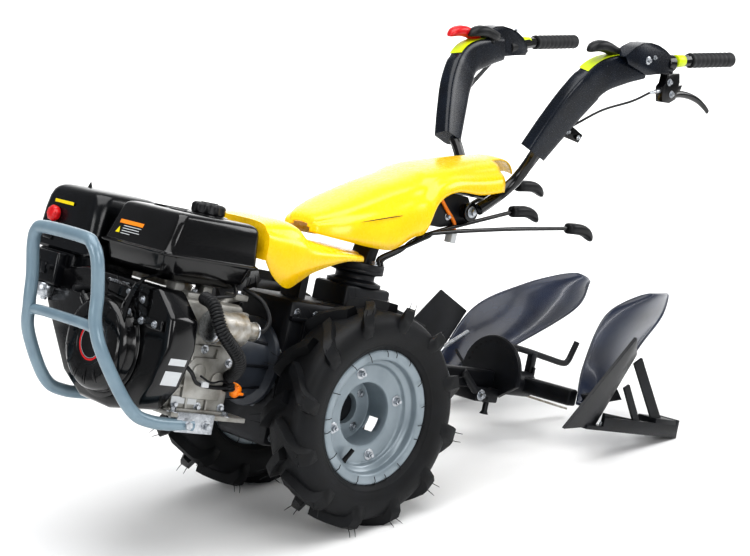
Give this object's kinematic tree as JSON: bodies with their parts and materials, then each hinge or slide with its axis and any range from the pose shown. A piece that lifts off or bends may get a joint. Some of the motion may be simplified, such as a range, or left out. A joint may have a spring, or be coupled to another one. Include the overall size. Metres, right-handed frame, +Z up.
{
  "type": "two-wheel walking tractor with turnover plough",
  "caption": "Two-wheel walking tractor with front engine, swinging handlebars, lugged tyres and a two-body turnover plough behind, parked on its tyres and plough.",
  "frame": {"origin": "on the floor under the middle of the machine's bounding box", "axes": "+X towards the engine, +Y across to the side of the clutch lever, +Z up"},
  "size_m": [1.836, 0.6718, 0.9893],
  "materials": {
    "tyre": "matte moulded rubber",
    "wheel_grey": "silver-grey wheel paint",
    "bumper_grey": "blue-grey gloss paint",
    "black_paint": "gloss black paint",
    "plough_paint": "blue-black gloss paint",
    "cast_alloy": "as-cast alloy",
    "bright_steel": "zinc-plated steel",
    "yellow_shell": "moulded yellow plastic",
    "black_shell": "gloss black plastic",
    "black_moulding": "satin black plastic",
    "red_plastic": "moulded red plastic",
    "grip_rubber": "ribbed black rubber"
  },
  "bodies": {
    "chassis": {"gearbox": "cast_alloy", "bell_housing": "cast_alloy", "column_base": "black_paint", "pto_cover": "cast_alloy", "drawbar": "plough_paint", "crankcase": "cast_alloy", "engine_base": "black_paint", "cylinder": "cast_alloy", "blower_housing": "black_shell", "recoil_starter": "black_shell", "fuel_tank": "black_shell", "fuel_cap": "black_moulding", "air_cleaner": "black_shell", "muffler": "bright_steel", "starter_motor": "bright_steel", "bumper": "bumper_grey", "lower_cover": "yellow_shell", "wiring_loom": "black_moulding"},
    "left_wheel": {"left_tyre": "tyre", "left_rim": "wheel_grey", "left_hub": "wheel_grey"},
    "right_wheel": {"right_tyre": "tyre", "right_rim": "wheel_grey", "right_hub": "wheel_grey"},
    "column": {"column_post": "black_paint", "upper_cover": "yellow_shell", "drive_lever": "bright_steel", "gear_lever": "bright_steel", "lock_lever": "bright_steel"},
    "handlebar": {"handlebar_tubes": "black_paint", "left_sleeve": "black_moulding", "right_sleeve": "black_moulding", "left_grip": "grip_rubber", "right_grip": "grip_rubber", "left_clutch_lever": "black_paint", "right_throttle": "black_moulding", "left_thumb_lever": "black_moulding", "right_thumb_lever": "black_moulding", "stop_switch": "red_plastic", "clutch_cable": "black_moulding"},
    "plough": {"plough_hub": "plough_paint", "turnover_handle": "black_paint", "left_mouldboard": "plough_paint", "right_mouldboard": "plough_paint", "left_share_and_slide": "plough_paint", "right_share_and_slide": "plough_paint"}
  },
  "joints": [
    {"name": "left_wheel_spin", "type": "hinge", "parent": "chassis", "child": "left_wheel", "pos_m": [0.269, 0.192, 0.248], "axis": [0, 1, 0], "continuous": true},
    {"name": "right_wheel_spin", "type": "hinge", "parent": "chassis", "child": "right_wheel", "pos_m": [0.269, -0.192, 0.248], "axis": [0, 1, 0], "continuous": true},
    {"name": "handlebar_swing", "type": "hinge", "parent": "chassis", "child": "column", "pos_m": [0.10657, 0, 0.5126], "axis": [-0.2859, 0, 0.9583], "range_deg": [-25, 25]},
    {"name": "handlebar_height", "type": "hinge", "parent": "column", "child": "handlebar", "pos_m": [-0.19262, 0, 0.60596], "axis": [0, 1, 0], "range_deg": [0, 8]},
    {"name": "plough_turnover", "type": "hinge", "parent": "chassis", "child": "plough", "pos_m": [-0.34176, 0, 0.15447], "axis": [0.9583, 0, 0.2859], "range_deg": [-90, 90]}
  ]
}
